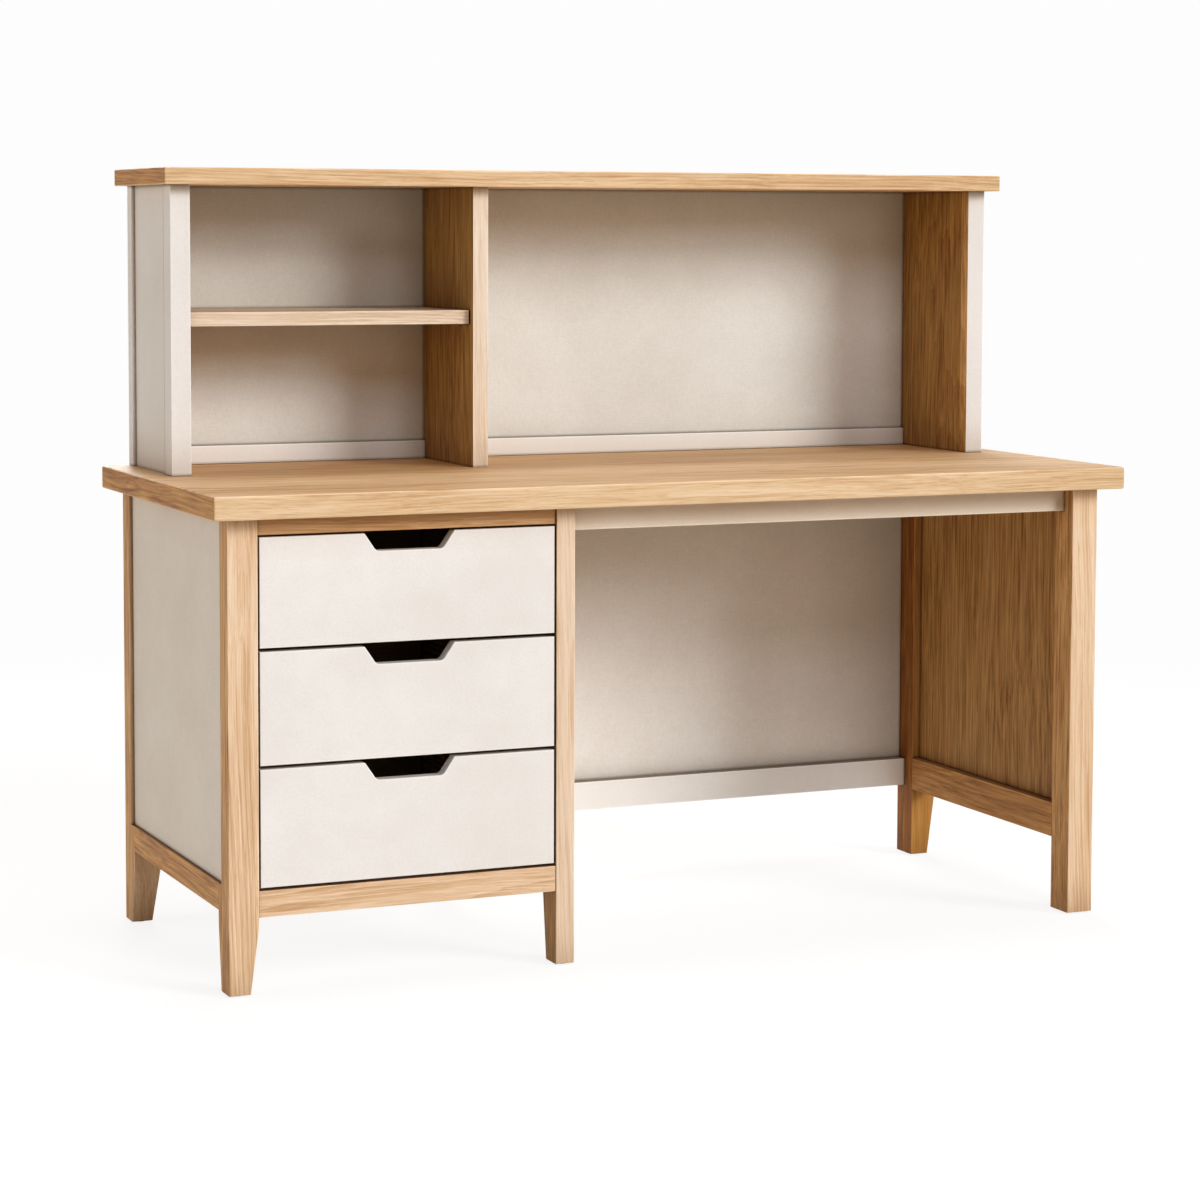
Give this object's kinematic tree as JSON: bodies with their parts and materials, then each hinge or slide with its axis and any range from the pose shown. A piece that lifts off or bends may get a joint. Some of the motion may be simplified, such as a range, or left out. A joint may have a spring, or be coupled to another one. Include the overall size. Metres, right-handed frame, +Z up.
{
  "type": "student desk with hutch",
  "caption": "Pedestal desk with a stack of drawers on the left, an open kneehole, and an open hutch with a divider and a shelf standing on the back of the top.",
  "frame": {"origin": "on the floor, in the middle of the whole footprint", "axes": "+X along the desk to its right end as seen from the front, +Y to the back, +Z up"},
  "size_m": [1.58, 0.667, 1.25],
  "materials": {
    "oak": "clear satin lacquer",
    "cream_paint": "satin cream paint on wood",
    "carcass_board": "plain oak-faced board",
    "drawer_board": "lacquered birch plywood",
    "zinc_steel": "zinc plated",
    "felt": "dark felt"
  },
  "bodies": {
    "desk": {"desktop": "oak", "front_left_leg": "oak", "rear_left_leg": "oak", "front_middle_leg": "oak", "rear_middle_leg": "oak", "front_right_leg": "oak", "rear_right_leg": "oak", "left_side_rail": "oak", "right_side_rail": "oak", "right_inner_panel": "oak", "case_side_rail": "oak", "case_side_panel": "oak", "case_top_rail": "oak", "case_bottom_rail": "oak", "hutch_top": "oak", "hutch_divider": "oak", "hutch_shelf": "oak", "left_outer_panel": "cream_paint", "right_outer_panel": "cream_paint", "kneehole_apron": "cream_paint", "modesty_rail": "cream_paint", "modesty_panel": "cream_paint", "hutch_left_front_stile": "cream_paint", "hutch_right_front_stile": "cream_paint", "hutch_left_panel": "cream_paint", "hutch_right_panel": "cream_paint", "hutch_rear_stiles": "cream_paint", "hutch_back_panel": "cream_paint", "hutch_skirts": "cream_paint", "left_inner_panel": "carcass_board", "case_rear_rail": "carcass_board", "case_back_panel": "carcass_board", "slide_battens": "carcass_board", "top_cleats": "carcass_board", "rear_top_rail": "carcass_board", "case_slide_members": "zinc_steel", "shelf_pins": "zinc_steel", "hutch_fixing_plates": "zinc_steel", "foot_glides": "felt"},
    "drawer_1": {"drawer_1_front": "cream_paint", "drawer_1_left_side": "drawer_board", "drawer_1_right_side": "drawer_board", "drawer_1_back": "drawer_board", "drawer_1_bottom": "drawer_board", "drawer_1_slide_members": "zinc_steel"},
    "drawer_1_middle": {"drawer_1_middle_members": "zinc_steel"},
    "drawer_2": {"drawer_2_front": "cream_paint", "drawer_2_left_side": "drawer_board", "drawer_2_right_side": "drawer_board", "drawer_2_back": "drawer_board", "drawer_2_bottom": "drawer_board", "drawer_2_slide_members": "zinc_steel"},
    "drawer_2_middle": {"drawer_2_middle_members": "zinc_steel"},
    "drawer_3": {"drawer_3_front": "cream_paint", "drawer_3_left_side": "drawer_board", "drawer_3_right_side": "drawer_board", "drawer_3_back": "drawer_board", "drawer_3_bottom": "drawer_board", "drawer_3_slide_members": "zinc_steel"},
    "drawer_3_middle": {"drawer_3_middle_members": "zinc_steel"}
  },
  "joints": [
    {"name": "drawer_1_slide", "type": "slide", "parent": "desk", "child": "drawer_1", "axis": [0, -1, 0], "range_m": [0, 0.5]},
    {"name": "drawer_1_middle_slide", "type": "slide", "parent": "desk", "child": "drawer_1_middle", "axis": [0, -1, 0], "range_m": [0, 0.25]},
    {"name": "drawer_2_slide", "type": "slide", "parent": "desk", "child": "drawer_2", "axis": [0, -1, 0], "range_m": [0, 0.5]},
    {"name": "drawer_2_middle_slide", "type": "slide", "parent": "desk", "child": "drawer_2_middle", "axis": [0, -1, 0], "range_m": [0, 0.25]},
    {"name": "drawer_3_slide", "type": "slide", "parent": "desk", "child": "drawer_3", "axis": [0, -1, 0], "range_m": [0, 0.5]},
    {"name": "drawer_3_middle_slide", "type": "slide", "parent": "desk", "child": "drawer_3_middle", "axis": [0, -1, 0], "range_m": [0, 0.25]}
  ],
  "couplings": [
    {"joint": "drawer_1_middle_slide", "follows": "drawer_1_slide", "ratio": 0.5},
    {"joint": "drawer_2_middle_slide", "follows": "drawer_2_slide", "ratio": 0.5},
    {"joint": "drawer_3_middle_slide", "follows": "drawer_3_slide", "ratio": 0.5}
  ]
}
